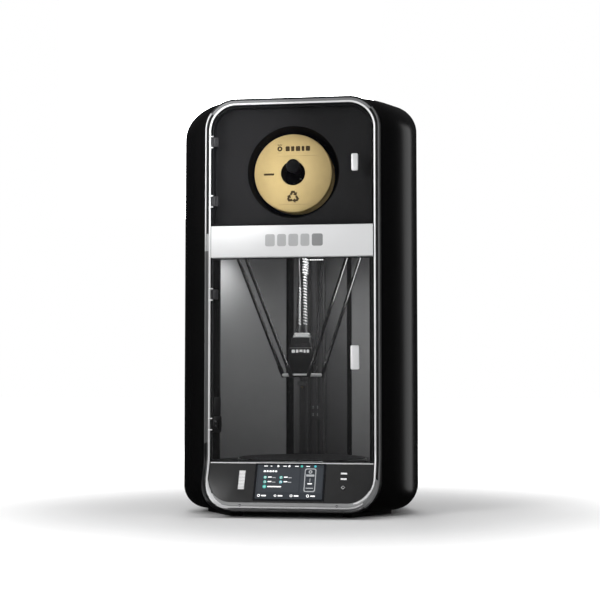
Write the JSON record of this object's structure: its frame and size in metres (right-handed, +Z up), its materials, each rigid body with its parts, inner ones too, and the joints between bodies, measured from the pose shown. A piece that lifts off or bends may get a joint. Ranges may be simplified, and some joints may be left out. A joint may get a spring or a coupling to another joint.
{
  "type": "delta printer",
  "caption": "Tall enclosed delta 3-D printer: black moulded housing, bright front frame, two hinged glass doors, filament spool bay above, print chamber below, sloping touch panel.",
  "frame": {"origin": "on the floor, at the middle of the bounding box", "axes": "+Z up, +X to the right as seen from the front, the doors and the control panel face -Y"},
  "size_m": [0.595, 0.55, 1.03],
  "materials": {
    "shell_plastic": "satin black moulded panel",
    "dark_plastic": "fine texture",
    "bay_plastic": "fine texture",
    "white_plastic": "satin",
    "base_steel": "powder coat",
    "floor_steel": "powder coat",
    "bezel_metal": "satin, bright bevels",
    "pull_metal": "satin",
    "hinge_black": "satin",
    "door_glass": "smoked, clear",
    "screen": "glass-fronted display",
    "spool_card": "kraft board",
    "filament": "wound strand",
    "column_alloy": "black anodised",
    "frame_alloy": "black anodised",
    "pulley_alloy": "machined",
    "rail_steel": "ground",
    "rod_black": "carbon fibre tube",
    "belt_rubber": "toothed belt",
    "motor_black": "satin",
    "hot_brass": "machined",
    "hose_plastic": "spiral wrap",
    "bed_alloy": "milled",
    "sheet_dark": "textured coating",
    "foot_rubber": "soft"
  },
  "bodies": {
    "housing": {"shell_left": "shell_plastic", "shell_right": "shell_plastic", "top_cover": "shell_plastic", "rear_cover": "dark_plastic", "base_pan": "base_steel", "power_inlet": "dark_plastic", "front_bezel": "bezel_metal", "crossbar": "bezel_metal", "fascia_panel": "dark_plastic", "touchscreen": "screen", "status_light": "white_plastic", "usb_ports": "white_plastic", "spool_bay": "bay_plastic", "spool_arm": "dark_plastic", "heated_bed": "bed_alloy", "build_sheet": "sheet_dark", "chamber_floor": "floor_steel", "power_supply": "bed_alloy", "foot_left": "foot_rubber", "foot_right": "foot_rubber", "foot_rear": "foot_rubber", "column_left": "column_alloy", "rail_left": "rail_steel", "belt_left": "belt_rubber", "motor_left": "motor_black", "column_right": "column_alloy", "rail_right": "rail_steel", "belt_right": "belt_rubber", "motor_right": "motor_black", "column_rear": "column_alloy", "rail_rear": "rail_steel", "belt_rear": "belt_rubber", "motor_rear": "motor_black"},
    "upper_door": {"upper_door_glass": "door_glass", "upper_door_pull": "pull_metal", "hinge_upper_top": "hinge_black", "hinge_upper_bottom": "hinge_black"},
    "lower_door": {"lower_door_glass": "door_glass", "lower_door_pull": "pull_metal", "hinge_lower_top": "hinge_black", "hinge_lower_bottom": "hinge_black"},
    "spool": {"filament_spool": "spool_card", "filament_winding": "filament"},
    "button": {"power_button": "white_plastic"},
    "print_head": {"effector_plate": "frame_alloy", "head_cover": "dark_plastic", "hotend": "hot_brass", "umbilical_hose": "hose_plastic"},
    "left_carriage": {"carriage_left": "frame_alloy", "rod_left_rear": "rod_black", "rod_left_front": "rod_black"},
    "left_pulley": {"drive_pulley_left": "pulley_alloy"},
    "right_carriage": {"carriage_right": "frame_alloy", "rod_right_front": "rod_black", "rod_right_rear": "rod_black"},
    "right_pulley": {"drive_pulley_right": "pulley_alloy"},
    "rear_carriage": {"carriage_rear": "frame_alloy", "rod_rear_right": "rod_black", "rod_rear_left": "rod_black"},
    "rear_pulley": {"drive_pulley_rear": "pulley_alloy"}
  },
  "joints": [
    {"name": "head_lift", "type": "slide", "parent": "housing", "child": "print_head", "axis": [0, 0, 1], "range_m": [-0.174, 0.2], "deforming": ["umbilical_hose"]},
    {"name": "upper_door_hinge", "type": "hinge", "parent": "housing", "child": "upper_door", "pos_m": [-0.1975, -0.226, 0.848], "axis": [0, 0, -1], "range_deg": [0, 110]},
    {"name": "lower_door_hinge", "type": "hinge", "parent": "housing", "child": "lower_door", "pos_m": [-0.1975, -0.226, 0.384], "axis": [0, 0, -1], "range_deg": [0, 110]},
    {"name": "spool_spin", "type": "hinge", "parent": "housing", "child": "spool", "pos_m": [-0.0095, -0.1045, 0.8535], "axis": [0, 1, 0], "continuous": true},
    {"name": "button_press", "type": "slide", "parent": "housing", "child": "button", "axis": [0, 0.8751, -0.4839], "range_m": [0, 0.0015], "stiffness_N_per_m": 700},
    {"name": "left_carriage_slide", "type": "slide", "parent": "housing", "child": "left_carriage", "axis": [0, 0, 1], "range_m": [-0.175, 0.201]},
    {"name": "left_pulley_turn", "type": "hinge", "parent": "housing", "child": "left_pulley", "pos_m": [-0.19745, -0.157, 0.095], "axis": [-0.866, -0.5, 0], "range_deg": [-1006.19, 1006.19]},
    {"name": "right_carriage_slide", "type": "slide", "parent": "housing", "child": "right_carriage", "axis": [0, 0, 1], "range_m": [-0.175, 0.201]},
    {"name": "right_pulley_turn", "type": "hinge", "parent": "housing", "child": "right_pulley", "pos_m": [0.19745, -0.157, 0.095], "axis": [0.866, -0.5, 0], "range_deg": [-1006.19, 1006.19]},
    {"name": "rear_carriage_slide", "type": "slide", "parent": "housing", "child": "rear_carriage", "axis": [0, 0, 1], "range_m": [-0.175, 0.201]},
    {"name": "rear_pulley_turn", "type": "hinge", "parent": "housing", "child": "rear_pulley", "pos_m": [0, 0.185, 0.095], "axis": [0, 1, 0], "range_deg": [-1006.19, 1006.19]}
  ],
  "couplings": [
    {"joint": "left_carriage_slide", "follows": "head_lift", "ratio": 1},
    {"joint": "left_pulley_turn", "follows": "head_lift", "rad_per_m": 87.719},
    {"joint": "right_carriage_slide", "follows": "head_lift", "ratio": 1},
    {"joint": "right_pulley_turn", "follows": "head_lift", "rad_per_m": 87.719},
    {"joint": "rear_carriage_slide", "follows": "head_lift", "ratio": 1},
    {"joint": "rear_pulley_turn", "follows": "head_lift", "rad_per_m": 87.719}
  ]
}
